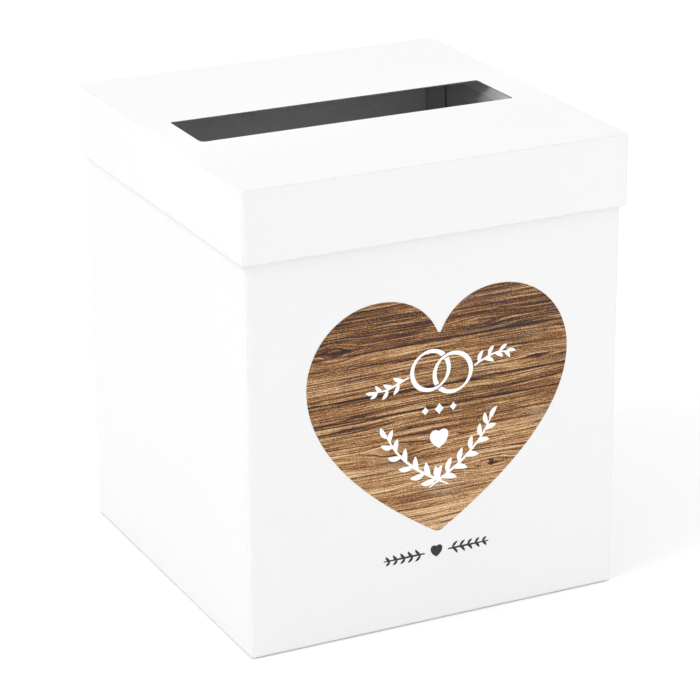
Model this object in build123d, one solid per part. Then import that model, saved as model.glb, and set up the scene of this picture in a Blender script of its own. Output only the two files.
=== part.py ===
"""Wedding card box: a paper-wrapped rigid board box with a lift-off slotted lid.

Frame: millimetres, +Z up, origin at the centre of the underside, front face towards -Y.
The base is five board panels with corner strips, wrapped in white paper that is turned in
over the rim and under the bottom edge. The lid is four board skirt panels under a thin card top,
with corner stay tapes, wrapped in one sheet that is turned in under the skirt. The card slot is
cut through the paper and the card together, so its edge is thin and sharp.
"""
from build123d import *
import math
import os

import numpy as np

os.makedirs("parts", exist_ok=True)

# ---------------------------------------------------------------- driving dimensions (mm)
BASE_W = 254.0        # outside of the wrapped base, square in plan
LID_W = 260.6         # outside of the wrapped lid, square in plan
TOTAL_H = 301.2       # underside to the top of the lid
LID_H = 46.6          # depth of the lid's skirt, outside
BOARD = 2.0           # board calibre of the walls
TOP_CARD = 0.5        # card of the lid's top panel
WRAP = 0.25           # wrapping paper
GLUE = 0.05           # glue line between paper and board

BASE_R = 2.4          # plan corner radius, wrapped base
LID_R = 3.0           # plan corner radius, wrapped lid
LID_TOP_R = 1.6       # rolled edge round the top of the lid

SLOT_L, SLOT_W = 216.5, 48.5     # card slot
SLOT_X, SLOT_Y = -3.0, -4.65     # its centre: a little left of and in front of the lid's centre
SLOT_RADII = {(1, -1): 1.7, (1, 1): 1.6, (-1, 1): 1.7, (-1, -1): 3.4}   # corners, by side in x and y
LINER_BACK = 7.0      # the lid's inner liner stops this far back from the slot's edge

RIM_TURN_IN = 18.0    # wrap turned down inside the rim of the base
FOOT_TURN_IN = 15.0   # wrap turned under the bottom edge of the base
SKIRT_TURN_IN = 18.0  # wrap turned up inside the skirt of the lid
STRIP_W, STRIP_T = 27.0, 1.2     # greyboard corner strips inside the base
STAY_LEG, STAY_T = 22.0, 0.25    # paper stay tapes inside the lid corners

LINER_T = 0.2
FLOOR_LINER_T = 0.25
SHEET_T = 0.25        # paper sheet under the base

PRINT_GAP = 0.01
HEART_T, WHITE_T, BLACK_T = 0.12, 0.06, 0.08

# ---------------------------------------------------------------- derived heights
z_foot_wrap = SHEET_T + GLUE                       # underside of the turned-under wrap
z_board0 = z_foot_wrap + WRAP + GLUE               # underside of the base boards
z_floor = z_board0 + BOARD                         # top of the bottom board
z_lid_board1 = TOTAL_H - WRAP - GLUE               # top of the lid's top board
z_lid_board0 = z_lid_board1 - TOP_CARD
z_liner1 = z_lid_board0 - GLUE
z_liner0 = z_liner1 - LINER_T
z_rim = z_liner0 - GLUE                            # top of the base's wrapped rim
z_base_board1 = z_rim - WRAP - GLUE
z_skirt = TOTAL_H - LID_H                          # bottom of the lid's skirt

base_board_w = BASE_W - 2 * (WRAP + GLUE)
base_inner_w = base_board_w - 2 * BOARD
lid_board_w = LID_W - 2 * (WRAP + GLUE)
lid_inner_w = lid_board_w - 2 * BOARD
base_board_r = BASE_R - WRAP - GLUE
lid_board_r = LID_R - WRAP - GLUE


def slab(w, l, z0, z1, x=0.0, y=0.0):
    return Pos(x, y, (z0 + z1) / 2) * Box(w, l, z1 - z0)


def rounded(w, r, z0, z1, l=None, x=0.0, y=0.0):
    face = RectangleRounded(w, l or w, r)
    return Pos(x, y, z0) * extrude(face, amount=z1 - z0)


def slot_prism(grow, z0, z1):
    """The card slot's outline, grown all round by `grow`, from z0 to z1."""
    w, l = SLOT_L / 2 + grow, SLOT_W / 2 + grow
    face = Rectangle(2 * w, 2 * l)
    for (ix, iy), r in SLOT_RADII.items():
        corner = min(face.vertices(), key=lambda v: (v.X - ix * w) ** 2 + (v.Y - iy * l) ** 2)
        face = fillet(corner, r + grow)
    return Pos(SLOT_X, SLOT_Y, z0) * extrude(face, amount=z1 - z0)


def save(name, *shapes, label=None):
    shape = shapes[0] if len(shapes) == 1 else Compound(children=list(shapes))
    solids = shape.solids()
    assert solids and all(s.volume > 0 for s in solids), name
    shape = solids[0] if len(solids) == 1 else Compound(children=list(solids))
    shape.label = name
    export_step(shape, f"parts/{name}.step")
    print(f"{name:28s} solids {len(solids)}  volume {sum(s.volume for s in solids):12.2f}")
    return shape


# ================================================================ base
envelope = rounded(base_board_w, base_board_r, z_board0, z_base_board1)
side = base_board_w / 2 - BOARD / 2
front_board = envelope & slab(base_board_w, BOARD, z_board0, z_base_board1, 0, -side)
back_board = envelope & slab(base_board_w, BOARD, z_board0, z_base_board1, 0, side)
left_board = envelope & slab(BOARD, base_inner_w, z_board0, z_base_board1, -side, 0)
right_board = envelope & slab(BOARD, base_inner_w, z_board0, z_base_board1, side, 0)
save("base_front_board", front_board)
save("base_back_board", back_board)
save("base_left_board", left_board)
save("base_right_board", right_board)
save("base_bottom_board", slab(base_inner_w - 0.1, base_inner_w - 0.1, z_board0, z_floor))
save("base_floor_liner", slab(base_inner_w - 0.3, base_inner_w - 0.3, z_floor + GLUE, z_floor + GLUE + FLOOR_LINER_T))

# corner strips: one flat strip in each inside corner, glued to the side boards
z_strip0 = z_floor + GLUE + FLOOR_LINER_T + 0.05
z_strip1 = z_rim - RIM_TURN_IN - 0.5
sx = base_inner_w / 2 - GLUE - STRIP_T / 2
sy = base_inner_w / 2 - GLUE - STRIP_W / 2
for name, ix, iy in (("front_left", -1, -1), ("front_right", 1, -1), ("back_left", -1, 1), ("back_right", 1, 1)):
    save(f"base_corner_strip_{name}", slab(STRIP_T, STRIP_W, z_strip0, z_strip1, ix * sx, iy * sy))

# outer wrap of the base
outer = rounded(BASE_W, BASE_R, z_foot_wrap, z_rim)
cavity = rounded(BASE_W - 2 * WRAP, BASE_R - WRAP, z_foot_wrap + WRAP, z_rim - WRAP)
rim_out = base_inner_w - 2 * GLUE
rim_in = rim_out - 2 * WRAP
wrap = outer - cavity
wrap -= slab(rim_in, rim_in, z_rim - 5, z_rim + 5)
foot = BASE_W - 2 * FOOT_TURN_IN
wrap -= slab(foot, foot, z_foot_wrap - 1, z_foot_wrap + WRAP + 1)
turn_in = slab(rim_out, rim_out, z_rim - RIM_TURN_IN, z_rim) - slab(rim_in, rim_in, z_rim - RIM_TURN_IN - 1, z_rim + 1)
wrap += turn_in
save("base_outer_wrap", wrap)

save("base_bottom_sheet", rounded(BASE_W - 5.0, 1.5, 0, SHEET_T))

# ================================================================ lid
lid_env = rounded(lid_board_w, lid_board_r, z_skirt + WRAP + GLUE, z_lid_board1)
lid_env = fillet(lid_env.faces().sort_by(Axis.Z)[-1].edges(), LID_TOP_R - WRAP - GLUE)
top_board = (lid_env & slab(lid_board_w + 2, lid_board_w + 2, z_lid_board0, z_lid_board1 + 1)) - slot_prism(0, z_lid_board0 - 5, z_lid_board1 + 5)
save("lid_top_board", top_board)
zw0, zw1 = z_skirt + WRAP + GLUE, z_lid_board0 - GLUE
lid_side = lid_board_w / 2 - BOARD / 2
save("lid_front_board", lid_env & slab(lid_board_w, BOARD, zw0, zw1, 0, -lid_side))
save("lid_back_board", lid_env & slab(lid_board_w, BOARD, zw0, zw1, 0, lid_side))
save("lid_left_board", lid_env & slab(BOARD, lid_inner_w, zw0, zw1, -lid_side, 0))
save("lid_right_board", lid_env & slab(BOARD, lid_inner_w, zw0, zw1, lid_side, 0))

# paper stay tapes, one L in each inside corner of the lid
z_stay0, z_stay1 = z_skirt + SKIRT_TURN_IN + 0.4, z_liner0 - 0.05
c = lid_inner_w / 2 - GLUE
for name, ix, iy in (("front_left", -1, -1), ("front_right", 1, -1), ("back_left", -1, 1), ("back_right", 1, 1)):
    leg_x = slab(STAY_LEG, STAY_T, z_stay0, z_stay1, ix * (c - STAY_LEG / 2), iy * (c - STAY_T / 2))
    leg_y = slab(STAY_T, STAY_LEG, z_stay0, z_stay1, ix * (c - STAY_T / 2), iy * (c - STAY_LEG / 2))
    save(f"lid_corner_stay_{name}", leg_x + leg_y)

# outer wrap of the lid: skin with the slot cut through it, and the skirt turn-in
outer = rounded(LID_W, LID_R, z_skirt, TOTAL_H)
outer = fillet(outer.faces().sort_by(Axis.Z)[-1].edges(), LID_TOP_R)
outer = fillet(outer.faces().sort_by(Axis.Z)[0].edges(), 0.4)
cavity = rounded(LID_W - 2 * WRAP, LID_R - WRAP, z_skirt + WRAP, TOTAL_H - WRAP)
cavity = fillet(cavity.faces().sort_by(Axis.Z)[-1].edges(), LID_TOP_R - WRAP)
skirt_out = lid_inner_w - 2 * GLUE
skirt_in = skirt_out - 2 * WRAP
wrap = outer - cavity - slab(skirt_in, skirt_in, z_skirt - 1, z_skirt + WRAP + 1)
ring = slab(skirt_out, skirt_out, z_skirt + 0.1, z_skirt + SKIRT_TURN_IN) - slab(skirt_in, skirt_in, z_skirt - 1, z_skirt + SKIRT_TURN_IN + 1)
wrap += ring
wrap -= slot_prism(0, TOTAL_H - 5, TOTAL_H + 3)
save("lid_outer_wrap", wrap)

liner = slab(skirt_in - 0.1, skirt_in - 0.1, z_liner0, z_liner1)
liner -= slot_prism(LINER_BACK, z_liner0 - 1, z_liner1 + 1)
save("lid_inner_liner", liner)

# ================================================================ printed decoration on the front
y_face = -BASE_W / 2


def bezier(p0, p1, p2, p3, n):
    t = np.linspace(0, 1, n, endpoint=False)[:, None]
    p0, p1, p2, p3 = map(np.array, (p0, p1, p2, p3))
    return (1 - t) ** 3 * p0 + 3 * (1 - t) ** 2 * t * p1 + 3 * (1 - t) * t * t * p2 + t ** 3 * p3


# heart outline, right half from the notch round to the tip, in (x, z)
HEART_CX = 1.0
HEART_NOTCH_R, HEART_TIP_R = 1.4, 5.8
N, T, E, B = (0, 189.44), (40.68, 217.29), (89.58, 168.44), (0, 59.69)
right = [
    (N, (4.78, 204.57), (18.88, 217.29), T),
    (T, (69.09, 217.29), (89.58, 194.19), E),
    (E, (89.58, 118.62), (31.11, 78.74), B),
]
edges = []
for sgn in (1, -1):
    for seg in right:
        pts = [(HEART_CX + sgn * x, 0, z) for x, z in seg]
        edges.append(Bezier(*[Vector(*p) for p in pts]))
heart_face = Face(Wire(edges))
corners = sorted((v for v in heart_face.vertices() if abs(v.X - HEART_CX) < 0.01), key=lambda v: v.Z)
heart_face = heart_face.fillet_2d(HEART_TIP_R, [corners[0]])
corners = [v for v in heart_face.vertices() if abs(v.X - HEART_CX) < 0.01 and v.Z > 150]
heart_face = heart_face.fillet_2d(HEART_NOTCH_R, corners)


def from_face(face_xz, y_out, t):
    """Solid of thickness t whose outermost face lies at y_out."""
    n = face_xz.normal_at()
    amount = t if n.Y < 0 else -t
    solid = extrude(Pos(0, y_out + t, 0) * face_xz, amount=amount)
    return solid


heart_solid = from_face(heart_face, y_face - PRINT_GAP - HEART_T, HEART_T)
save("heart_print", heart_solid)


# ---- ornaments: variable-width strokes and leaves, united on a fine grid and traced to outlines
def spline(points, n=160):
    """Catmull-Rom curve through (x, z, width) points."""
    p = np.array(points, float)
    p = np.vstack([2 * p[0] - p[1], p, 2 * p[-1] - p[-2]])
    out = []
    m = max(2, n // (len(p) - 3))
    for i in range(1, len(p) - 2):
        t = np.linspace(0, 1, m, endpoint=False)[:, None]
        a, b, c_, d = p[i - 1], p[i], p[i + 1], p[i + 2]
        out.append(0.5 * (2 * b + (c_ - a) * t + (2 * a - 5 * b + 4 * c_ - d) * t ** 2 + (3 * b - a - 3 * c_ + d) * t ** 3))
    return np.vstack(out + [p[-2:-1]])


def leaf(x, z, angle, length, width):
    """Almond leaf from its foot at (x, z)."""
    t = np.linspace(0, 1, 26)
    a = math.radians(angle)
    bow = 0.10 * length * np.sin(np.pi * t)
    px = x + np.cos(a) * t * length - np.sin(a) * bow
    pz = z + np.sin(a) * t * length + np.cos(a) * bow
    w = width * np.sin(np.pi * np.clip(t * 0.94 + 0.03, 0, 1)) ** 0.9
    return np.stack([px, pz, np.maximum(w, 0.35)], 1)


def ring(x, z, r, thin, thick, pen):
    a = np.linspace(0, 2 * np.pi, 241)
    w = thin + (thick - thin) * np.abs(np.sin(a + math.pi / 2 - math.radians(pen))) ** 1.3
    return np.stack([x + r * np.cos(a), z + r * np.sin(a), w], 1)


def distance(strokes, X, Z):
    d = np.full(X.shape, 1e9)
    for s in strokes:
        a, b = s[:-1], s[1:]
        for (ax, az, aw), (bx, bz, bw) in zip(a, b):
            dx, dz = bx - ax, bz - az
            m = (X > min(ax, bx) - 4) & (X < max(ax, bx) + 4) & (Z > min(az, bz) - 4) & (Z < max(az, bz) + 4)
            if not m.any():
                continue
            t = np.clip(((X[m] - ax) * dx + (Z[m] - az) * dz) / max(dx * dx + dz * dz, 1e-9), 0, 1)
            w = aw + (bw - aw) * t
            d[m] = np.minimum(d[m], np.hypot(X[m] - ax - t * dx, Z[m] - az - t * dz) - w / 2)
    return d


def trace(F, x0, z0, h):
    """Marching squares at 0 on grid F[j, i]; closed loops of (x, z)."""
    nz, nx = F.shape
    segs = {}

    def cross(p, q):
        (i0, j0), (i1, j1) = p, q
        a, b = F[j0, i0], F[j1, i1]
        t = a / (a - b)
        return (x0 + h * (i0 + t * (i1 - i0)), z0 + h * (j0 + t * (j1 - j0)))

    inside = F < 0
    for j in range(nz - 1):
        row = inside[j, :-1].astype(int) + inside[j, 1:] * 2 + inside[j + 1, 1:] * 4 + inside[j + 1, :-1] * 8
        for i in np.nonzero((row > 0) & (row < 15))[0]:
            k = int(row[i])
            cn = [(i, j), (i + 1, j), (i + 1, j + 1), (i, j + 1)]
            ed = [(0, 1), (1, 2), (2, 3), (3, 0)]
            table = {1: [(3, 0)], 2: [(0, 1)], 3: [(3, 1)], 4: [(1, 2)], 5: [(3, 0), (1, 2)], 6: [(0, 2)], 7: [(3, 2)], 8: [(2, 3)], 9: [(2, 0)], 10: [(0, 1), (2, 3)], 11: [(2, 1)], 12: [(1, 3)], 13: [(1, 0)], 14: [(0, 3)]}
            for e0, e1 in table[k]:
                p, q = [tuple(sorted((cn[ed[e][0]], cn[ed[e][1]]))) for e in (e0, e1)]
                segs.setdefault(p, []).append(q)
    loops = []
    while segs:
        start = next(iter(segs))
        loop, cur = [], start
        while cur in segs:
            loop.append(cross(*cur))
            nxt = segs[cur].pop()
            if not segs[cur]:
                del segs[cur]
            cur = nxt
        if len(loop) > 8:
            loops.append(np.array(loop)[::-1])
    return loops


def simplify(loop, tol):
    """Douglas-Peucker on a closed loop."""
    n = len(loop)
    far = int(np.argmax(np.hypot(*(loop - loop[0]).T)))

    def dp(i, j):
        if j <= i + 1:
            return [i]
        p, q = loop[i % n], loop[j % n]
        k = np.arange(i + 1, j)
        v = q - p
        L = math.hypot(*v)
        pts = loop[k % n] - p
        d = np.abs(v[0] * pts[:, 1] - v[1] * pts[:, 0]) / L if L > 1e-9 else np.hypot(*pts.T)
        m = int(np.argmax(d))
        if d[m] <= tol:
            return [i]
        return dp(i, i + 1 + m) + dp(i + 1 + m, j)

    idx = dp(0, far) + dp(far, n)
    return loop[[k % n for k in idx]]


def area(loop):
    x, z = loop.T
    return 0.5 * float(np.sum(x * np.roll(z, -1) - z * np.roll(x, -1)))


def ornament(F, x0, z0, h, y_out, t, tol):
    loops = [simplify(l, tol) for l in trace(F, x0, z0, h)]
    loops = [l for l in loops if len(l) >= 3 and abs(area(l)) > 0.4]
    outer_l = [l for l in loops if area(l) > 0]
    inner_l = [l for l in loops if area(l) < 0]
    solids = []
    for o in outer_l:
        wire = Wire.make_polygon([Vector(float(x), 0, float(z)) for x, z in o], close=True)
        s = from_face(Face(wire), y_out, t)
        for q in inner_l:
            px, pz = q[0]
            x, z = o.T
            x2, z2 = np.roll(x, -1), np.roll(z, -1)
            odd = ((z > pz) != (z2 > pz)) & (px < (x2 - x) * (pz - z) / (z2 - z + 1e-12) + x)
            if int(odd.sum()) % 2:
                hole = Wire.make_polygon([Vector(float(a), 0, float(b)) for a, b in q], close=True)
                s -= from_face(Face(hole), y_out - 0.5, t + 1.0)
        solids += list(s.solids())
    return solids


def branch(points, leaves, size, flip=1.0):
    """A stem with alternate leaves."""
    stem = spline(points, 90)
    out = [stem]
    n = len(stem)
    for k in range(leaves):
        f = 0.14 + 0.80 * k / max(1, leaves - 1)
        i = min(n - 2, int(f * (n - 1)))
        ang = math.degrees(math.atan2(stem[i + 1, 1] - stem[i, 1], stem[i + 1, 0] - stem[i, 0]))
        s = (1 if k % 2 else -1) * flip
        out.append(leaf(stem[i, 0], stem[i, 1], ang + s * 42, size * (1.0 - 0.28 * f), size * 0.36 * (1.0 - 0.2 * f)))
    i = n - 1
    ang = math.degrees(math.atan2(stem[i, 1] - stem[i - 1, 1], stem[i, 0] - stem[i - 1, 0]))
    out.append(leaf(stem[i, 0], stem[i, 1], ang, size * 0.8, size * 0.3))
    return out


# white: two linked rings with a sprig each side, three lozenges, and a pair of crossed branches
H = 0.35
gx0, gx1, gz0, gz1 = -56.0, 60.0, 84.0, 192.0
X, Z = np.meshgrid(np.arange(gx0, gx1, H), np.arange(gz0, gz1, H))
ring_a = ring(-5.0, 168.2, 12.6, 1.5, 3.1, 35)
ring_b = ring(10.4, 164.6, 12.6, 1.5, 3.1, 35)
fa, fb = distance([ring_a], X, Z), distance([ring_b], X, Z)
gap = 0.75
upper = (Z - 166.4) > -4.2 * (X - 2.7)
F = np.minimum(np.where(upper, np.maximum(fa, -(fb - gap)), fa), np.where(upper, fb, np.maximum(fb, -(fa - gap))))
sprigs = branch([(-20.2, 166.0, 1.0), (-27.5, 163.2, 1.2), (-35.5, 160.4, 1.1), (-42.5, 160.6, 0.7)], 6, 8.2)
sprigs += branch([(25.6, 166.6, 1.0), (32.5, 169.8, 1.2), (40.5, 172.4, 1.1), (47.5, 172.0, 0.7)], 6, 8.2, -1.0)
F = np.minimum(F, distance(sprigs, X, Z))
for cx, r in ((-8.5, 3.0), (1.2, 4.0), (10.9, 3.0)):
    lz = (np.abs(X - cx) / (0.86 * r)) ** 0.8 + (np.abs(Z - 142.2) / r) ** 0.8 - 1.0
    F = np.minimum(F, lz * r * 0.6)
low = branch([(7.5, 91.0, 0.9), (-2.5, 97.0, 1.5), (-15.5, 105.6, 1.6), (-27.5, 117.5, 1.3), (-34.5, 129.0, 0.8)], 11, 11.0)
low += branch([(-5.1, 91.0, 0.9), (4.9, 97.0, 1.5), (17.9, 105.6, 1.6), (29.9, 117.5, 1.3), (36.9, 129.0, 0.8)], 11, 11.0, -1.0)
F = np.minimum(F, distance(low, X, Z))
# a small heart between the branches
hx, hz, hs = 1.2, 121.5, 5.6
u, v = (X - hx) / hs, (Z - hz) / hs
F = np.minimum(F, (np.sign((u * u + v * v - 1) ** 3 - u * u * v ** 3) * np.abs((u * u + v * v - 1) ** 3 - u * u * v ** 3) ** (1 / 3)) * hs * 0.35)
white = ornament(F, gx0, gz0, H, y_face - PRINT_GAP - HEART_T - 0.01 - WHITE_T, WHITE_T, 0.07)
save("white_motif_print", *white)

# black: a small heart with a leafy line each side, under the wood-effect heart
gx0, gx1, gz0, gz1 = -44.0, 44.0, 38.0, 56.0
H = 0.25
X, Z = np.meshgrid(np.arange(gx0, gx1, H), np.arange(gz0, gz1, H))
zc = 46.6
lines = []
for s in (-1, 1):
    lines.append(spline([(s * 8.6, zc, 0.9), (s * 17, zc, 1.25), (s * 27, zc, 1.1), (s * 36.6, zc, 0.7)], 80))
    for k, xx in enumerate((11.2, 16.6, 22.0, 27.4, 32.6)):
        ln = 5.4 - 0.35 * k
        a = 48
        for up in (1, -1):
            ang = up * a if s > 0 else 180 - up * a
            lines.append(leaf(s * xx, zc, ang, ln, 1.75))
F = distance(lines, X, Z)
hs = 3.6
u, v = X / hs, (Z - zc + 0.2) / hs
F = np.minimum(F, (np.sign((u * u + v * v - 1) ** 3 - u * u * v ** 3) * np.abs((u * u + v * v - 1) ** 3 - u * u * v ** 3) ** (1 / 3)) * hs * 0.35)
black = ornament(F, gx0, gz0, H, y_face - PRINT_GAP - BLACK_T, BLACK_T, 0.05)
save("black_motif_print", *black)
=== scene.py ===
import math
import random

import bmesh
import bpy
import numpy as np
from mathutils import Matrix, Vector


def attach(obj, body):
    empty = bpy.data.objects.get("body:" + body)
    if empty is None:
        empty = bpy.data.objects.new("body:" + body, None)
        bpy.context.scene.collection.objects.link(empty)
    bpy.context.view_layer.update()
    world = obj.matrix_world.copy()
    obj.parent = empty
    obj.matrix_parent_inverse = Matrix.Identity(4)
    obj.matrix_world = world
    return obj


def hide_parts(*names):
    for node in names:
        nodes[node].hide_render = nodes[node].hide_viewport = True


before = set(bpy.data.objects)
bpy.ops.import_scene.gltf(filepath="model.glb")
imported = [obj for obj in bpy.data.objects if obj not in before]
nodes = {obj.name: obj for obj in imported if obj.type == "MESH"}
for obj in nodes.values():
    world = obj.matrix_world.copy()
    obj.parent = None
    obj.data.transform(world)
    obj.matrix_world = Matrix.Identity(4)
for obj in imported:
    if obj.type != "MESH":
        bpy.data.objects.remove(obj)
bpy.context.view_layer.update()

MM = 0.001
scene = bpy.context.scene


# ------------------------------------------------------------------ node helper
class Out:
    """A node output that can be used in plain arithmetic."""

    def __init__(self, g, s):
        self.g, self.s = g, s

    def __add__(self, o):
        return self.g.math("ADD", self, o)

    def __radd__(self, o):
        return self.g.math("ADD", o, self)

    def __sub__(self, o):
        return self.g.math("SUBTRACT", self, o)

    def __rsub__(self, o):
        return self.g.math("SUBTRACT", o, self)

    def __mul__(self, o):
        return self.g.math("MULTIPLY", self, o)

    def __rmul__(self, o):
        return self.g.math("MULTIPLY", o, self)

    def __truediv__(self, o):
        return self.g.math("DIVIDE", self, o)

    def __neg__(self):
        return self.g.math("MULTIPLY", self, -1.0)

    def __pow__(self, o):
        return self.g.math("POWER", self, o)


class Graph:
    def __init__(self, name):
        self.mat = bpy.data.materials.new(name)
        self.mat.use_nodes = True
        self.t = self.mat.node_tree
        self.t.nodes.clear()
        self.out = self.t.nodes.new("ShaderNodeOutputMaterial")
        self.bsdf = self.t.nodes.new("ShaderNodeBsdfPrincipled")
        self.t.links.new(self.bsdf.outputs[0], self.out.inputs[0])
        tc = self.t.nodes.new("ShaderNodeTexCoord")
        sep = self.t.nodes.new("ShaderNodeSeparateXYZ")
        sc = self.t.nodes.new("ShaderNodeVectorMath")
        sc.operation = "SCALE"
        sc.inputs["Scale"].default_value = 1000.0
        self.t.links.new(tc.outputs["Object"], sc.inputs[0])
        self.t.links.new(sc.outputs[0], sep.inputs[0])
        self.x, self.y, self.z = (Out(self, sep.outputs[i]) for i in range(3))
        self.p = Out(self, sc.outputs[0])

    def set(self, socket, v):
        if isinstance(v, Out):
            self.t.links.new(v.s, socket)
        else:
            socket.default_value = v

    def math(self, op, a, b=None, c=None, clamp=False):
        n = self.t.nodes.new("ShaderNodeMath")
        n.operation = op
        n.use_clamp = clamp
        for i, v in enumerate((a, b, c)):
            if v is not None:
                self.set(n.inputs[i], v)
        return Out(self, n.outputs[0])

    def sin(self, a):
        return self.math("SINE", a)

    def abs(self, a):
        return self.math("ABSOLUTE", a)

    def min(self, a, b):
        return self.math("MINIMUM", a, b)

    def max(self, a, b):
        return self.math("MAXIMUM", a, b)

    def exp(self, a):
        return self.math("EXPONENT", a)

    def clamp(self, a):
        return self.math("ADD", a, 0.0, clamp=True)

    def step(self, a, lo, hi, smooth=True):
        """0 at lo to 1 at hi."""
        n = self.t.nodes.new("ShaderNodeMapRange")
        n.interpolation_type = "SMOOTHSTEP" if smooth else "LINEAR"
        n.clamp = True
        self.set(n.inputs["Value"], a)
        n.inputs["From Min"].default_value = lo
        n.inputs["From Max"].default_value = hi
        return Out(self, n.outputs["Result"])

    def bump_at(self, a, centre, width):
        """A bell of height 1 round centre."""
        d = (a - centre) * (1.0 / width)
        return self.exp(-(d * d))

    def vec(self, x, y, z):
        n = self.t.nodes.new("ShaderNodeCombineXYZ")
        for i, v in enumerate((x, y, z)):
            self.set(n.inputs[i], v)
        return Out(self, n.outputs[0])

    def scaled(self, sx, sy, sz, off=(0, 0, 0), rot=0.0):
        """The point in millimetres, divided by a feature size along each axis."""
        v = self.p
        if rot:
            r = self.t.nodes.new("ShaderNodeVectorRotate")
            r.rotation_type = "Y_AXIS"
            r.inputs["Angle"].default_value = rot
            self.set(r.inputs["Vector"], v)
            v = Out(self, r.outputs[0])
        n = self.t.nodes.new("ShaderNodeVectorMath")
        n.operation = "MULTIPLY_ADD"
        self.set(n.inputs[0], v)
        n.inputs[1].default_value = (1 / sx, 1 / sy, 1 / sz)
        n.inputs[2].default_value = off
        return Out(self, n.outputs[0])

    def noise(self, v, detail=2.0, rough=0.5, distort=0.0):
        n = self.t.nodes.new("ShaderNodeTexNoise")
        n.noise_dimensions = "3D"
        self.set(n.inputs["Vector"], v)
        n.inputs["Scale"].default_value = 1.0
        n.inputs["Detail"].default_value = detail
        n.inputs["Roughness"].default_value = rough
        n.inputs["Distortion"].default_value = distort
        return Out(self, n.outputs["Fac"])

    def voronoi(self, v, feature="F1", rand=1.0):
        n = self.t.nodes.new("ShaderNodeTexVoronoi")
        n.feature = feature
        self.set(n.inputs["Vector"], v)
        n.inputs["Scale"].default_value = 1.0
        n.inputs["Randomness"].default_value = rand
        return n

    def mix(self, f, a, b):
        """Colour or number mix."""
        n = self.t.nodes.new("ShaderNodeMix")
        n.data_type = "RGBA"
        self.set(n.inputs[0], f)
        for i, v in ((6, a), (7, b)):
            if not isinstance(v, Out):
                v = tuple(v) + (1.0,) if len(v) == 3 else v
            self.set(n.inputs[i], v)
        return Out(self, n.outputs[2])

    def lerp(self, f, a, b):
        n = self.t.nodes.new("ShaderNodeMix")
        n.data_type = "FLOAT"
        self.set(n.inputs[0], f)
        self.set(n.inputs[2], a)
        self.set(n.inputs[3], b)
        return Out(self, n.outputs[0])

    def ramp(self, f, stops, mode="LINEAR"):
        n = self.t.nodes.new("ShaderNodeValToRGB")
        cr = n.color_ramp
        cr.interpolation = mode
        cr.elements.remove(cr.elements[1])
        cr.elements[0].position = stops[0][0]
        cr.elements[0].color = tuple(stops[0][1]) + (1.0,)
        for pos, col in stops[1:]:
            cr.elements.new(pos).color = tuple(col) + (1.0,)
        self.set(n.inputs[0], f)
        return Out(self, n.outputs[0])

    def bump(self, height, strength, distance, normal=None):
        n = self.t.nodes.new("ShaderNodeBump")
        n.inputs["Strength"].default_value = strength
        n.inputs["Distance"].default_value = distance
        self.set(n.inputs["Height"], height)
        if normal is not None:
            self.set(n.inputs["Normal"], normal)
        return Out(self, n.outputs[0])

    def finish(self, colour, rough, normal=None, **plain):
        self.set(self.bsdf.inputs["Base Color"], colour)
        self.set(self.bsdf.inputs["Roughness"], rough)
        if normal is not None:
            self.set(self.bsdf.inputs["Normal"], normal)
        for k, v in plain.items():
            self.bsdf.inputs[k.replace("_", " ")].default_value = v
        return self.mat


def lin(r, g, b):
    """sRGB 0-255 to linear."""
    return tuple(c / 12.92 if c <= 0.04045 else ((c + 0.055) / 1.055) ** 2.4 for c in (r / 255, g / 255, b / 255))


# ------------------------------------------------------------------ materials
def edge_distance(g, half, z0, z1):
    """Distance in mm from the nearest outside edge of a box, on that box's surface."""
    a = half - g.abs(g.x)
    b = half - g.abs(g.y)
    c = g.min(g.z - z0, z1 - g.z)
    return g.max(g.min(a, b), g.min(g.max(a, b), c))


def paper_white(name, half, z0, z1, tone=0.80):
    """Smooth coated white wrapping paper over board."""
    g = Graph(name)
    cloud = g.noise(g.scaled(70, 70, 55, (3.1, 1.7, 9.2)), 3.0, 0.55)
    fibre = g.noise(g.scaled(0.9, 0.9, 0.5, (1.3, 7.1, 2.2)), 4.0, 0.65)
    fibre2 = g.noise(g.scaled(2.6, 2.6, 0.7, (5.3, 2.1, 8.2)), 2.0, 0.6)
    e = edge_distance(g, half, z0, z1)
    breakup = g.noise(g.scaled(9, 9, 9, (2.5, 8.5, 4.5)), 4.0, 0.6)
    fine = g.noise(g.scaled(1.1, 1.1, 1.1, (7.5, 3.5, 1.5)), 3.0, 0.6)
    wear_and_edge_shade = (1.0 - g.step(e, 0.15, 1.9)) * g.step(breakup * 0.7 + fine * 0.3, 0.42, 0.66)
    rub = (1.0 - g.step(e, 0.0, 7.0)) * g.step(cloud, 0.35, 0.75)
    t = tone
    value = g.mix(cloud, (t * 0.985, t * 0.985, t * 0.984), (t * 1.008, t * 1.008, t * 1.009))
    value = g.mix(g.step(fibre, 0.60, 0.80) * 0.30, value, (t * 0.955, t * 0.953, t * 0.950))
    value = g.mix(rub * 0.10, value, (t * 0.93, t * 0.93, t * 0.93))
    # painted shade: a thin darker line along every edge of the box
    edge_shade_line = (1.0 - g.step(e, 0.30, 1.25)) * (0.35 + breakup * 0.9)
    value = g.mix(edge_shade_line * 0.48, value, (t * 0.84, t * 0.84, t * 0.84))
    # edge wear, its colour darkened further as painted shade along the edges
    value = g.mix(wear_and_edge_shade * 0.45, value, (t * 0.80, t * 0.795, t * 0.785))
    rough = 0.40 + cloud * 0.08 + fibre * 0.05 + wear_and_edge_shade * 0.22 + rub * 0.05
    height = fibre * 0.35 + fibre2 * 0.30 + g.noise(g.scaled(14, 14, 14, (4, 2, 6)), 3.0, 0.5) * 1.4 - wear_and_edge_shade * 0.25
    n = g.bump(height, 0.35, 0.00006)
    return g.finish(value, rough, n, IOR=1.46, Coat_Weight=0.10, Coat_Roughness=0.28)


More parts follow.
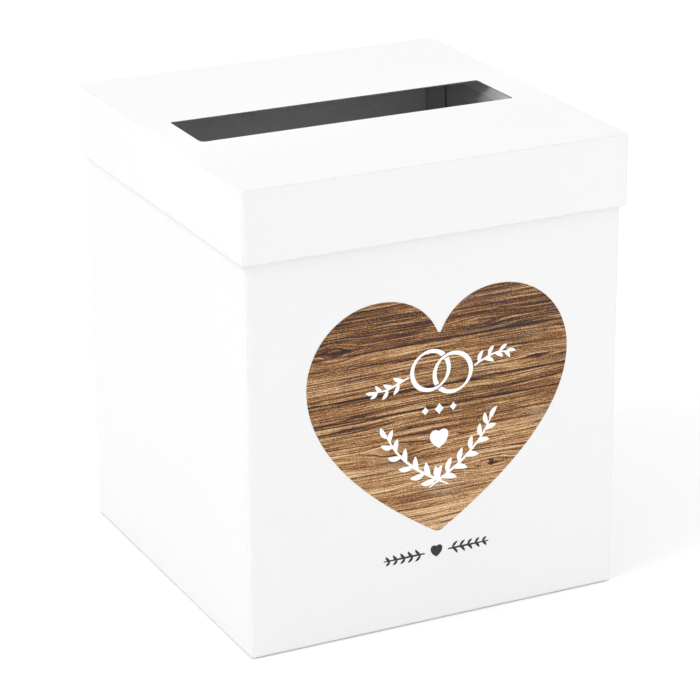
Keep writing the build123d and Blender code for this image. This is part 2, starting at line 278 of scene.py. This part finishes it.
def greyboard(name, base, seed, flecks=1.0, rough0=0.86, core=None, ends=None):
    """Lined board: short fibres, pale and dark flecks, a slight machine direction. core: (z0, z1, colour) of an
    uncovered cut edge.
    ends: (y0, y1, colour) of an uncovered cut edge at y0, and of painted shade in the inner corner from about y1 - 1.3
    outwards, both sides of the middle."""
    g = Graph(name)
    o = (seed * 1.7, seed * 2.3, seed * 3.1)
    cloud = g.noise(g.scaled(22, 22, 14, o), 4.0, 0.6)
    mottle = g.noise(g.scaled(3.2, 3.2, 2.2, o), 4.0, 0.6)
    grain = g.noise(g.scaled(0.55, 0.55, 0.4, o), 3.0, 0.65)
    f1 = g.noise(g.scaled(3.6, 3.6, 0.28, o, rot=0.5), 2.0, 0.5)
    f2 = g.noise(g.scaled(3.1, 3.1, 0.25, o, rot=-0.9), 2.0, 0.5)
    v = g.voronoi(g.scaled(4.2, 4.2, 4.2, o))
    cell = Out(g, v.outputs["Distance"])
    pick = g.noise(g.scaled(6.5, 6.5, 6.5, (o[0] + 4, o[1], o[2])), 0.0, 0.5)
    spot = (1.0 - g.step(cell, 0.10, 0.20)) * g.step(pick, 0.52, 0.60)
    spot2 = (1.0 - g.step(cell, 0.08, 0.15)) * (1.0 - g.step(pick, 0.38, 0.46))
    fib = g.step(f1, 0.60, 0.72) * 0.6 + g.step(f2, 0.62, 0.74) * 0.6
    b = np.array(base)
    col = g.mix(cloud, tuple(b * 0.90), tuple(b * 1.10))
    col = g.mix(g.step(mottle, 0.3, 0.8) * 0.5, col, tuple(b * 1.14))
    col = g.mix(fib * (0.45 * flecks), col, tuple(np.minimum(b * 1.35, 0.95)))
    col = g.mix(spot * (0.8 * flecks), col, tuple(b * 0.52))
    col = g.mix(spot2 * (0.7 * flecks), col, tuple(np.minimum(b * 1.55, 0.95)))
    if core:
        z0, z1, c = core
        cut = g.step(g.z, z0, z0 + 0.03, smooth=False) * (1.0 - g.step(g.z, z1 - 0.03, z1, smooth=False))
        c = np.array(c)
        ply = g.noise(g.scaled(2.6, 2.6, 0.09, o), 2.0, 0.6)
        col = g.mix(cut, col, g.mix(ply, tuple(c * 0.78), tuple(c * 1.22)))
    if ends:
        y0, y1, c = ends
        ay = g.math("ABSOLUTE", g.y)
        # the band near y1 is painted shade in the inner corner where the strip meets the wall; the band at y0 is the
        # strip's grey cut edge
        cut_edge_and_corner_shade = g.step(ay, y1 - 1.3, y1 - 0.9) + (1.0 - g.step(ay, y0 + 0.05, y0 + 0.15))
        c = np.array(c)
        ply = g.noise(g.scaled(0.09, 2.6, 2.6, o), 2.0, 0.6)
        col = g.mix(g.clamp(cut_edge_and_corner_shade), col, g.mix(ply, tuple(c * 0.84), tuple(c * 1.16)))
    rough = rough0 + mottle * 0.08
    n = g.bump(grain * 0.5 + fib * 0.35 + mottle * 0.6, 0.55, 0.00011)
    return g.finish(col, rough, n, IOR=1.42)


def tape_paper(name, base, seed):
    """Gummed kraft stay tape: long fibres and faint ribs across the tape."""
    g = Graph(name)
    o = (seed, seed * 2.0, seed * 0.7)
    ribs = g.sin(g.z * 9.2 + g.noise(g.scaled(8, 8, 8, o), 2.0) * 5.0)
    fib = g.noise(g.scaled(2.4, 2.4, 0.30, o, rot=1.45), 3.0, 0.6)
    cloud = g.noise(g.scaled(12, 12, 9, o), 3.0, 0.55)
    b = np.array(base)
    col = g.mix(cloud, tuple(b * 0.92), tuple(b * 1.08))
    col = g.mix(g.step(fib, 0.5, 0.75) * 0.4, col, tuple(b * 0.82))
    n = g.bump(ribs * 0.25 + fib * 0.6, 0.5, 0.00008)
    return g.finish(col, 0.68 + fib * 0.15, n, IOR=1.45)


def plain_paper(name, base, seed, rough0=0.7):
    g = Graph(name)
    o = (seed * 3.3, seed, seed * 1.9)
    cloud = g.noise(g.scaled(40, 40, 40, o), 4.0, 0.55)
    fib = g.noise(g.scaled(1.6, 0.7, 1.2, o), 4.0, 0.65)
    spk = g.noise(g.scaled(0.8, 0.8, 0.8, (o[1], o[0], o[2])), 2.0, 0.5)
    b = np.array(base)
    col = g.mix(cloud, tuple(b * 0.95), tuple(b * 1.04))
    col = g.mix(g.step(spk, 0.68, 0.8) * 0.5, col, tuple(b * 0.78))
    n = g.bump(fib, 0.4, 0.00007)
    return g.finish(col, rough0 + fib * 0.12, n, IOR=1.45)


def wood_print(name):
    """A wood-plank effect printed on paper: brown boards with horizontal grain, knots and dark joints."""
    g = Graph(name)
    x, z = g.x, g.z

    def near(cx, cz, rx, rz):
        """Squared distance from (cx, cz) in units of (rx, rz)."""
        n = g.t.nodes.new("ShaderNodeVectorMath")
        n.operation = "MULTIPLY_ADD"
        g.set(n.inputs[0], g.p)
        n.inputs[1].default_value = (1 / rx, 0, 1 / rz)
        n.inputs[2].default_value = (-cx / rx, 0, -cz / rz)
        d = g.t.nodes.new("ShaderNodeVectorMath")
        d.operation = "DOT_PRODUCT"
        g.t.links.new(n.outputs[0], d.inputs[0])
        g.t.links.new(n.outputs[0], d.inputs[1])
        return Out(g, d.outputs["Value"])

    # knots: centre, reach of the parted grain, how far it parts, size and darkness of the core
    knots = ((-70, 190, 14, 6.5, 1.30, 2.6, 1.6, 50), (30, 195, 22, 5.0, 1.10, 3.0, 1.4, 50), (70, 165, 24, 5.0, 1.00, 3.4, 1.2, 44),
             (-30, 120, 20, 6.0, 1.05, 2.8, 1.6, 40), (40, 100, 22, 5.5, 1.15, 2.4, 1.4, 44))
    zz = z + (g.noise(g.scaled(120, 400, 30, (4.4, 0, 1.9)), 1.0, 0.5) - 0.5) * 8.0
    zz = zz + (g.noise(g.scaled(42, 400, 11.0, (8.1, 0, 3.3)), 1.0, 0.5) - 0.5) * 1.0
    for cx, cz, lx, lz, a, _, _, _ in knots:
        f = g.exp(near(cx, cz, lx, lz) * -1.0)
        zz = g.math("MULTIPLY_ADD", (z - cz) * f, -a, zz)

    def grain(lx, lz, seed, detail=2.0, rough=0.5):
        return g.noise(g.vec(g.math("MULTIPLY_ADD", x, 1 / lx, seed), seed * 0.37, zz * (1 / lz)), detail, rough)

    # four boards: lower edge, upper edge, and the tone at each (0-255)
    boards = ((56, 144, 165, 120), (144, 158, 105, 105), (158, 187, 105, 120), (187, 220, 85, 95))
    lo, hi = boards[0][0], boards[-1][1]
    stops = []
    for z0, z1, v0, v1 in boards:
        stops += [((z0 + 0.3 - lo) / (hi - lo), (v0 / 255,) * 3), ((z1 - 0.3 - lo) / (hi - lo), (v1 / 255,) * 3)]
    broad = grain(150, 11.0, 3.3, 2.0, 0.5)
    sway = (g.noise(g.scaled(48, 400, 60, (2.9, 0, 7.3)), 2.0, 0.5) - 0.5)
    joint = z + sway * 1.0
    L = g.math("MULTIPLY", g.ramp(g.step(joint, lo, hi, smooth=False), stops), 255.0)
    L = g.math("MULTIPLY_ADD", broad, 96.0, L - 48.0)
    mid = grain(190, 3.6, 7.7, 1.0, 0.5)
    L = g.math("MULTIPLY_ADD", mid, 92.0, L - 45.0)
    L = g.math("MULTIPLY_ADD", g.step(mid, 0.60, 0.72), -26.0, L)
    L = g.math("MULTIPLY_ADD", g.step(mid, 0.40, 0.28), 14.0, L)
    ring = g.math("FRACT", g.math("MULTIPLY_ADD", zz, 0.30, g.math("MULTIPLY_ADD", broad, 4.2, mid * 1.0)))
    late = g.step(ring, 0.66, 0.97) * g.step(mid + broad, 0.86, 1.14)
    L = g.math("MULTIPLY_ADD", late, -80.0, L + 8.0)
    line = grain(190, 1.10, 12.1, 1.0, 0.5)
    L = g.math("MULTIPLY_ADD", line, 190.0, L - 95.0)
    L = g.math("MULTIPLY_ADD", g.step(line, 0.62, 0.67), -62.0, L + 2.0)
    fine = grain(58, 0.62, 21.7, 2.0, 0.55)
    L = g.math("MULTIPLY_ADD", fine, 350.0, L - 172.0)
    pores = grain(8, 0.46, 31.9, 1.0, 0.5)
    L = g.math("MULTIPLY_ADD", g.step(pores, 0.62, 0.70), -78.0, L)
    L = g.math("MULTIPLY_ADD", g.step(pores, 0.38, 0.28), 46.0, L)
    grit = g.noise(g.scaled(1.0, 9, 0.62, (2, 5, 1)), 2.0, 0.65)
    L = g.math("MULTIPLY_ADD", grit, 260.0, L - 136.0)
    blot = g.noise(g.scaled(30, 200, 9, (6.6, 0, 2.7)), 3.0, 0.6)
    L = g.math("MULTIPLY_ADD", blot, 60.0, L - 30.0)

    def lines(zc, z0, z1, items, window, gain=100.0):
        """Dark lines along the grain: (height, half width, depth 0-100). zc is the height after its own sway."""
        marks = []
        for cz, w, d in sorted(items):
            marks += [(cz - w, 0.0), (cz, d / 100.0), (cz + w, 0.0)]
        marks.sort()
        clean = []
        for m in marks:
            if clean and m[0] - clean[-1][0] < 0.02:
                m = (clean[-1][0] + 0.02, m[1])
            clean.append(m)
        r = g.ramp(g.step(zc, z0, z1, smooth=False), [((m[0] - z0) / (z1 - z0), (m[1],) * 3) for m in clean])
        return g.math("MULTIPLY", r, window) * gain

    rnd = random.Random(29)

    def streaks(z0, z1, count, depth):
        """Growth lines at uneven heights: (height, half width, depth 0-100)."""
        gap = (z1 - z0) / count
        return [(z0 + gap * (i + rnd.uniform(0.15, 0.85)), rnd.uniform(0.4, 1.1), depth * rnd.uniform(0.45, 1.0)) for i in range(count)]

    breaks = g.noise(g.scaled(22, 400, 2.4, (1.7, 0, 5.2)), 2.0, 0.55)
    part = g.step(breaks, 0.36, 0.52)
    rest = 1.0 - g.step(breaks, 0.44, 0.60)
    wr = g.step(x + sway * 26.0, -8, 24)
    wl = 1.0 - g.step(x + sway * 26.0, -30, 2)
    for h, w, d in ((144.0, 1.00, 100), (158.0, 1.00, 96), (187.0, 0.90, 80)):
        L = L - lines(joint, h - 3, h + 3, [(h, w, d)], 0.80 + breaks * 0.5, 115.0)
    low = z + sway * 2.2
    up = z + sway * 4.5
    L = L - lines(low, 62, 102, streaks(64, 100, 8, 70), part)
    L = L - lines(low, 98, 143, streaks(101, 141, 9, 56), part)
    L = L - lines(up, 142, 188, streaks(147, 185, 9, 54), wl * rest)
    L = L - lines(up, 142, 188, streaks(146, 185, 7, 50), wr * part)
    L = L - lines(up, 186, 220, streaks(189, 218, 8, 56), wl)
    L = L - lines(up, 186, 220, streaks(189, 218, 6, 60) + [(192.0, 3.0, 52)], wr)

    jit = (g.noise(g.scaled(1.8, 50, 1.3, (3, 0, 7)), 2.0, 0.6) - 0.5) * 1.8
    for cx, cz, _, _, _, rx, rz, d in knots:
        L = g.math("MULTIPLY_ADD", g.exp(g.math("MULTIPLY_ADD", near(cx, cz, rx, rz), -1.0, jit)), -d, L)
    tone = g.clamp(L * (1 / 255.0))

    def under_gloss(*rgb):
        """The print's own colour, with the paper's gloss taken off."""
        return tuple(max(0.0020, c * k - 0.034) for c, k in zip(lin(*rgb), (1.0, 0.985, 0.925)))

    # brown from the darkest grain to the palest
    col = g.ramp(tone, [(0.05, under_gloss(24, 14, 8)), (0.20, under_gloss(78, 48, 28)), (0.36, under_gloss(130, 90, 56)),
                        (0.52, under_gloss(170, 130, 92)), (0.68, under_gloss(210, 172, 132)), (0.88, under_gloss(240, 214, 182))])
    # slow drift between a redder and a greyer brown
    drift = g.noise(g.scaled(60, 400, 14, (9.3, 0, 5.1)), 1.0, 0.5)
    col = g.mix(g.step(drift, 0.56, 0.80) * 0.30, col, g.mix(tone, lin(60, 26, 12), lin(222, 150, 104)))
    col = g.mix(g.step(drift, 0.44, 0.20) * 0.26, col, g.mix(tone, lin(30, 26, 22), lin(196, 180, 160)))
    # printed ink: an uneven sheen, hardly any relief
    ink = g.noise(g.scaled(0.35, 9, 0.35, (3, 3, 3)), 2.0, 0.5)
    rough = g.math("MULTIPLY_ADD", ink, 0.10, 0.36 + tone * 0.06)
    n = g.bump(g.math("MULTIPLY_ADD", fine, 0.6, ink * 0.5), 0.3, 0.00005)
    return g.finish(col, rough, n, IOR=1.40)


def print_ink(name, base, seed, rough0):
    """A solid print: tiny pin-holes and uneven lay-down."""
    g = Graph(name)
    o = (seed, seed * 2, seed * 3)
    lay = g.noise(g.scaled(2.2, 9, 1.4, o), 3.0, 0.6)
    pin = g.noise(g.scaled(0.30, 9, 0.30, o), 1.0, 0.5)
    b = np.array(base)
    col = g.mix(lay, tuple(b * 0.93), tuple(np.minimum(b * 1.05 + 0.002, 1.0)))
    col = g.mix(g.step(pin, 0.70, 0.80) * 0.25, col, tuple(b * 0.80 + 0.02))
    n = g.bump(lay * 0.6 + pin * 0.4, 0.3, 0.00004)
    return g.finish(col, rough0 + lay * 0.12, n, IOR=1.48)


M_lid = paper_white("white_paper_lid", 130.3, 254.6, 301.2)
M_base = paper_white("white_paper_base", 127.0, 0.0, 300.1)
M_board = greyboard("lined_board", (0.83, 0.828, 0.82), 1.0, 0.35)
# the same lined board in a darker copy for the left and right inner walls: painted shade on those walls
M_board_side_shaded = greyboard("lined_board_side", (0.62, 0.618, 0.612), 7.0, 0.45)
M_card = greyboard("top_card", (0.76, 0.757, 0.75), 9.0, 0.35, core=(300.41, 300.89, (0.125, 0.120, 0.113)))
# ends: the strip's grey cut edge at y0 and painted shade in its inner corner near y1
M_strip = greyboard("lined_board_strip", (0.56, 0.558, 0.552), 4.0, 0.5, ends=(97.65, 124.65, (0.24, 0.236, 0.228)))
M_lining = plain_paper("lining_paper", (0.80, 0.797, 0.79), 2.0, 0.75)
M_sheet = plain_paper("base_sheet_paper", (0.86, 0.86, 0.85), 5.0, 0.62)
M_tape = tape_paper("stay_tape", (0.60, 0.575, 0.53), 3.0)
M_wood = wood_print("wood_effect_print")
M_white = print_ink("white_ink", (0.93, 0.93, 0.92), 2.0, 0.34)
M_black = print_ink("black_ink", (0.010, 0.010, 0.011), 6.0, 0.33)


def dress(node, mat):
    ob = nodes[node]
    ob.data.materials.clear()
    ob.data.materials.append(mat)


for n in nodes:
    if n == "lid_top_board":
        dress(n, M_card)
    # left and right walls: the darker copy of the lined board, painted shade
    elif n in ("base_left_board", "base_right_board"):
        dress(n, M_board_side_shaded)
    elif n.endswith("_board"):
        dress(n, M_board)
    elif "corner_strip" in n:
        dress(n, M_strip)
    elif "corner_stay" in n:
        dress(n, M_tape)
    elif n.endswith("liner"):
        dress(n, M_lining)
dress("base_bottom_sheet", M_sheet)
dress("heart_print", M_wood)
dress("white_motif_print", M_white)
dress("black_motif_print", M_black)
dress("base_outer_wrap", M_base)
dress("lid_outer_wrap", M_lid)


# ------------------------------------------------------------------ mesh helper
def mesh_object(name, verts, faces, mat):
    me = bpy.data.meshes.new(name)
    me.from_pydata([tuple(v) for v in verts], [], faces)
    me.update()
    ob = bpy.data.objects.new(name, me)
    scene.collection.objects.link(ob)
    me.materials.append(mat)
    return ob


def settle(ob, sharp_deg=38.0):
    """Applies the modifiers, shades smooth and keeps hard edges hard."""
    dg = bpy.context.evaluated_depsgraph_get()
    me = bpy.data.meshes.new_from_object(ob.evaluated_get(dg))
    old = ob.data
    ob.modifiers.clear()
    ob.data = me
    bpy.data.meshes.remove(old)
    bm = bmesh.new()
    bm.from_mesh(me)
    for f in bm.faces:
        f.smooth = True
    for e in bm.edges:
        e.smooth = not (len(e.link_faces) == 2 and e.calc_face_angle(0) > math.radians(sharp_deg))
    bm.to_mesh(me)
    bm.free()
    me.name = ob.name
    return ob


def arc(cx, cz, r, a0, a1, n):
    """Points from angle a0 to a1 in degrees, in a (half, z) section."""
    return [(cx + r * math.cos(math.radians(a)), cz + r * math.sin(math.radians(a))) for a in np.linspace(a0, a1, n)]


NA = 6  # points inside each corner arc


def plan_ring(hx, hy, radii, cols, cx=0.0, cy=0.0):
    """One rounded rectangle in plan, anticlockwise from the front side. cols gives, for each side, fractions from 0 to 1 of its straight length.
    Returns points, outward directions and side numbers (-1 on corners)."""
    corner = [(1, -1), (1, 1), (-1, 1), (-1, -1)]  # after sides 0, 1, 2, 3: front, right, back, left
    pts, nor, side = [], [], []
    for s in range(4):
        r_prev, r_next = radii[s - 1], radii[s]
        if s == 0:
            a, b, n = (-hx + r_prev, -hy), (hx - r_next, -hy), (0, -1)
        elif s == 1:
            a, b, n = (hx, -hy + r_prev), (hx, hy - r_next), (1, 0)
        elif s == 2:
            a, b, n = (hx - r_prev, hy), (-hx + r_next, hy), (0, 1)
        else:
            a, b, n = (-hx, hy - r_prev), (-hx, -hy + r_next), (-1, 0)
        for f in cols[s]:
            pts.append((cx + a[0] + (b[0] - a[0]) * f, cy + a[1] + (b[1] - a[1]) * f))
            nor.append(n)
            side.append(s)
        kx, ky = corner[s]
        ccx, ccy = kx * (hx - r_next), ky * (hy - r_next)
        a0 = -90 + 90 * s
        for t in range(1, NA + 1):
            ang = math.radians(a0 + 90 * t / (NA + 1))
            pts.append((cx + ccx + r_next * math.cos(ang), cy + ccy + r_next * math.sin(ang)))
            nor.append((math.cos(ang), math.sin(ang)))
            side.append(-1)
    return pts, nor, side


def waves(seed, amount):
    """A gentle panel unevenness, 0 to amount mm inwards, over u and v in 0..1, nothing at the panel's edges."""
    rng = np.random.default_rng(seed)
    terms = [(rng.uniform(0.6, 2.6), rng.uniform(0.6, 2.6), rng.uniform(0, 6.28), rng.uniform(0, 6.28), rng.uniform(0.4, 1.0)) for _ in range(6)]
    top = sum(t[4] for t in terms)

    def f(u, v):
        u, v = np.clip(u, 0, 1), np.clip(v, 0, 1)
        s = sum(t[4] * math.sin(6.28 * t[0] * u + t[2]) * math.sin(6.28 * t[1] * v + t[3]) for t in terms) / top
        win = (math.sin(math.pi * u) * math.sin(math.pi * v)) ** 0.6
        return amount * win * (0.5 + 0.5 * s)

    return f


def loft(rings):
    n = len(rings[0])
    verts = [p for r in rings for p in r]
    faces = []
    for k in range(len(rings) - 1):
        for j in range(n):
            j2 = (j + 1) % n
            faces.append((k * n + j, k * n + j2, (k + 1) * n + j2, (k + 1) * n + j))
    return verts, faces


def side_cols(length, seam, n_mid, step=0.07):
    """Fractions along a side: a paper edge `seam` mm in from each end, and even columns between."""
    ends = [0.0, seam * 0.5, seam, seam + step, seam + 1.2]
    mid = list(np.linspace(seam + 1.2, length - seam - 1.2, n_mid))[1:-1]
    cols = ends + mid + [length - e for e in reversed(ends)]
    return [c / length for c in cols]


# ------------------------------------------------------------------ base wrap
def base_wrap():
    half, r0, top, bot = 127.0, 2.4, 300.1, 0.30
    wave = [waves(11 + s, 0.075) for s in range(4)]
    wob = waves(77, 1.0)
    sec = [(124.40, 282.15)] + [(124.40, z) for z in np.linspace(283.4, 298.8, 6)] + [(124.40, 299.4)]
    sec += arc(124.78, 299.72, 0.38, 180, 90, 5)
    sec += [(125.3, top), (125.9, top)]
    sec += arc(126.42, 299.52, 0.58, 90, 0, 6)
    sec += [(half, 298.9), (half, 298.0)]
    sec += [(half, z) for z in np.linspace(293.8, 5.0, 48)]
    sec += [(half, 2.2), (half, 1.4)]
    sec += arc(126.5, 0.80, 0.5, 0, -90, 5)
    sec += [(126.0, bot), (124.0, bot), (118.0, bot), (112.2, bot)]
    rings = []
    L = 2 * (half - r0)
    for k, (h, z) in enumerate(sec):
        r = max(0.30, r0 - (half - h))
        outer = h > half - 0.01 and 0.9 < z < 299.4
        t = z / 300.1
        cols = []
        for s in range(4):
            seam = (0.9 + 1.1 * (1 - t)) if s in (1, 3) else 0.9
            cols.append(side_cols(L, seam, 40))
        pts, nor, side = plan_ring(h, h, [r] * 4, cols)
        ring = []
        m = len(cols[0])
        for j, ((x, y), (nx, ny), s) in enumerate(zip(pts, nor, side)):
            d = 0.0
            if outer:
                if s >= 0:
                    c = j - s * (m + NA)
                    u = {0: x, 1: y, 2: -x, 3: -y}[s] / (2 * half) + 0.5
                    d = wave[s](u, t)
                    if s in (1, 3) and (c <= 2 or c >= m - 3):
                        d = 0.085
                else:
                    d = 0.085 if True else 0.0
                    # the corner belongs to the front and back sheets, folded round to the sides
                    d = 0.0
                if s in (1, 3) and (c <= 2 or c >= m - 3):
                    d = 0.085 * min(1.0, (c if c <= 2 else m - 1 - c) / 1.0)
            zz = z
            if k == 0:
                zz = z + 0.55 * math.sin(x * 0.071 + 1.3) * math.sin(y * 0.063 + 0.4) + 0.12 * math.sin(x * 0.9 + y * 0.7)
            if k == len(sec) - 1:
                q = 0.5 * math.sin(x * 0.05 + 2.0) + 0.4 * math.sin(y * 0.07)
                x, y = x - nx * (0.5 + q), y - ny * (0.5 + q)
            ring.append(((x - nx * d) * MM, (y - ny * d) * MM, zz * MM))
        rings.append(ring)
    verts, faces = loft(rings)
    ob = mesh_object("base_wrap_paper", verts, faces, M_base)
    return ob


# ------------------------------------------------------------------ lid wrap
def lid_wrap():
    half, r0, top, bot, tr = 130.3, 3.0, 301.2, 254.6, 1.6
    sx, sy, slx, sly = -3.0, -4.65, 108.25, 24.25
    wave = [waves(31 + s, 0.075) for s in range(4)]
    wtop = waves(55, 0.085)
    L = 2 * (half - r0)
    rings = []

    def corner(x, y, z):
        """How far the paper's folds round a corner off: down at the top, up at the skirt's edge."""
        q = math.exp(-(math.hypot(half - 1.0 - abs(x), half - 1.0 - abs(y)) / 3.6) ** 2)
        return q * (0.10 * min(1.0, max(0.0, (bot + 3.0 - z) / 2.6)) - 0.10 * min(1.0, max(0.0, (z - top + 3.4) / 3.2)))

    def columns(z):
        t = (z - bot) / (top - bot)
        out = []
        for s in range(4):
            seam = 0.35 + 1.45 * (1 - t) if s in (0, 2) else 0.9
            out.append(side_cols(L, max(0.3, seam), 40))
        return out

    def put(h, z, k_first=False, outer=False):
        r = max(0.30, r0 - (half - h))
        cols = columns(z)
        m = len(cols[0])
        pts, nor, side = plan_ring(h, h, [r] * 4, cols)
        t = (z - bot) / (top - bot)
        ring = []
        for j, ((x, y), (nx, ny), s) in enumerate(zip(pts, nor, side)):
            d = 0.0
            if outer and s >= 0:
                c = j - s * (m + NA)
                u = {0: x, 1: y, 2: -x, 3: -y}[s] / (2 * half) + 0.5
                d = wave[s](u, t)
                if s in (0, 2) and (c <= 2 or c >= m - 3):
                    d = 0.10 * min(1.0, (c if c <= 2 else m - 1 - c) / 1.0)
            zz = z
            if k_first:
                zz = z + 0.5 * math.sin(x * 0.067 + 0.3) * math.sin(y * 0.059 + 2.4) + 0.12 * math.sin(x * 0.8 + y * 0.9)
            elif h > 128.3:
                zz = z + corner(x, y, z)
            ring.append(((x - nx * d) * MM, (y - ny * d) * MM, zz * MM))
        rings.append(ring)

    put(127.70, 272.5, k_first=True)
    for z in np.linspace(271.2, 256.2, 6):
        put(127.70, z)
    for h, z in arc(128.10, 255.0, 0.40, 180, 270, 5):
        put(h, z)
    for h, z in [(128.7, bot), (129.3, bot)]:
        put(h, z)
    for h, z in arc(129.86, 255.04, 0.44, 270, 360, 5):
        put(h, z)
    for z in [255.5, 256.2]:
        put(half, z, outer=True)
    for z in np.linspace(259, 296, 12):
        put(half, z, outer=True)
    for z in [298.4, 299.1]:
        put(half, z, outer=True)
    for h, z in arc(half - tr, top - tr, tr, 0, 90, 9):
        put(h, z)
    # the top: from the rounded square to the slot
    h0 = half - tr - 0.5
    cols = columns(top)
    A, _, _ = plan_ring(h0, h0, [max(0.3, r0 - (half - h0))] * 4, cols)
    slot_r = [1.7, 1.6, 1.7, 3.4]  # front-right, back-right, back-left, front-left
    e = 0.95
    B, _, _ = plan_ring(slx + e, sly + e, [r + e for r in slot_r], cols, sx, sy)

    def height(x, y):
        u, v = x / 260.6 + 0.5, y / 260.6 + 0.5
        dx = max(abs(x - sx) - slx, 0.0)
        dy = max(abs(y - sy) - sly, 0.0)
        near = min(1.0, math.hypot(dx, dy) / 14.0)
        return -wtop(u, v) * near

    for f in np.concatenate([np.linspace(0, 0.9, 16), [0.96, 1.0]]):
        ring = []
        for (ax, ay), (bx, by) in zip(A, B):
            x, y = ax + (bx - ax) * f, ay + (by - ay) * f
            ring.append((x * MM, y * MM, (top + height(x, y) + corner(x, y, top)) * MM))
        rings.append(ring)

    def slot_ring(off, z):
        P, _, _ = plan_ring(slx + off, sly + off, [max(0.3, r + off) for r in slot_r], cols, sx, sy)
        rings.append([(x * MM, y * MM, z * MM) for x, y in P])

    # the cut edge: the knife has pulled the paper's skin down a little
    slot_ring(0.42, top - 0.012)
    for a in np.linspace(90, 180, 5):
        slot_ring(0.15 + 0.15 * math.cos(math.radians(a)), top - 0.17 + 0.15 * math.sin(math.radians(a)))
    slot_ring(0.0, top - 0.245)
    verts, faces = loft(rings)
    return mesh_object("lid_wrap_paper", verts, faces, M_lid)


def face_out(ob, probe):
    """Turns the faces round if the one nearest probe (metres) points towards the object's axis."""
    me = ob.data
    best = min(me.polygons, key=lambda p: (p.center - Vector(probe)).length)
    if best.normal.dot(Vector((best.center.x, best.center.y, 0))) < 0:
        me.flip_normals()


wraps = []
for ob, node, body, probe in ((base_wrap(), "base_outer_wrap", "base", (0.03, -0.127, 0.15)), (lid_wrap(), "lid_outer_wrap", "lid", (0.03, -0.1303, 0.28))):
    face_out(ob, probe)
    so = ob.modifiers.new("thick", "SOLIDIFY")
    so.thickness = 0.16 * MM
    so.offset = -1.0
    so.use_even_offset = False
    settle(ob, 36)
    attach(ob, body)
    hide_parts(node)
    wraps.append(ob)

# ------------------------------------------------------------------ stage, light, camera
floor_g = Graph("floor_pale")
fl = floor_g.noise(floor_g.scaled(900, 900, 900), 2.0, 0.5)
floor_mat = floor_g.finish(floor_g.mix(fl, (0.955, 0.955, 0.955), (0.965, 0.965, 0.965)), 0.9 + fl * 0.05, IOR=1.3, Specular_IOR_Level=0.2)
bpy.ops.mesh.primitive_grid_add(x_subdivisions=4, y_subdivisions=4, size=60.0, location=(0, 0, -0.0003))
floor = bpy.context.object
floor.name = "floor"
floor.data.materials.append(floor_mat)

world = bpy.data.worlds.new("studio")
scene.world = world
world.use_nodes = True
bg = world.node_tree.nodes.get("Background") or world.node_tree.nodes.new("ShaderNodeBackground")
bg.inputs["Color"].default_value = (1, 1, 1, 1)
bg.inputs["Strength"].default_value = 1.03
wo = world.node_tree.nodes.get("World Output") or world.node_tree.nodes.new("ShaderNodeOutputWorld")
world.node_tree.links.new(bg.outputs[0], wo.inputs[0])


def softbox(name, at, target, size, watts):
    d = bpy.data.lights.new(name, "AREA")
    d.shape = "SQUARE"
    d.size = size
    d.energy = watts
    ob = bpy.data.objects.new(name, d)
    ob.location = at
    ob.rotation_mode = "QUATERNION"
    ob.rotation_quaternion = (Vector(at) - Vector(target)).to_track_quat("Z", "Y")
    ob.visible_camera = False
    scene.collection.objects.link(ob)
    return ob


softbox("key_left", (-2.3, -0.35, 2.8), (0, 0, 0.2), 1.6, 27.0)
softbox("fill_right", (0.42, -0.86, 0.05), (0.06, -0.12, 0.03), 0.4, 0.66)

# a narrow low beam from the left that runs in through the slot to the top of the right wall
beam_data = bpy.data.lights.new("slot_beam", "SPOT")
beam_data.energy = 60.0
beam_data.spot_size = math.radians(2.9)
beam_data.spot_blend = 1.0
beam_data.shadow_soft_size = 0.035
beam = bpy.data.objects.new("slot_beam", beam_data)
beam.location = (-1.37, -0.22, 0.447)
beam.rotation_mode = "QUATERNION"
beam.rotation_quaternion = (Vector(beam.location) - Vector((0.1244, 0.014, 0.290))).to_track_quat("Z", "Y")
scene.collection.objects.link(beam)

scene.view_settings.view_transform = "Standard"
scene.view_settings.look = "None"
scene.view_settings.exposure = 0.0
scene.view_settings.gamma = 1.0

cam_data = bpy.data.cameras.new("camera")
cam = bpy.data.objects.new("camera", cam_data)
scene.collection.objects.link(cam)
cam_data.sensor_width = 36.0
cam_data.lens = 152.82
cam_data.clip_start, cam_data.clip_end = 0.05, 200.0
right = Vector((0.8971901651, -0.4416257157, -0.0040663044))
down = Vector((-0.1590316522, -0.3144657740, -0.9358526650))
forward = Vector((0.4120178894, 0.8402844781, -0.3523680669))
rot = Matrix((right, -down, -forward)).transposed()
cam.matrix_world = Matrix.Translation((-0.792278, -1.621546, 0.817499)) @ rot.to_4x4()
scene.camera = cam

bpy.context.view_layer.update()
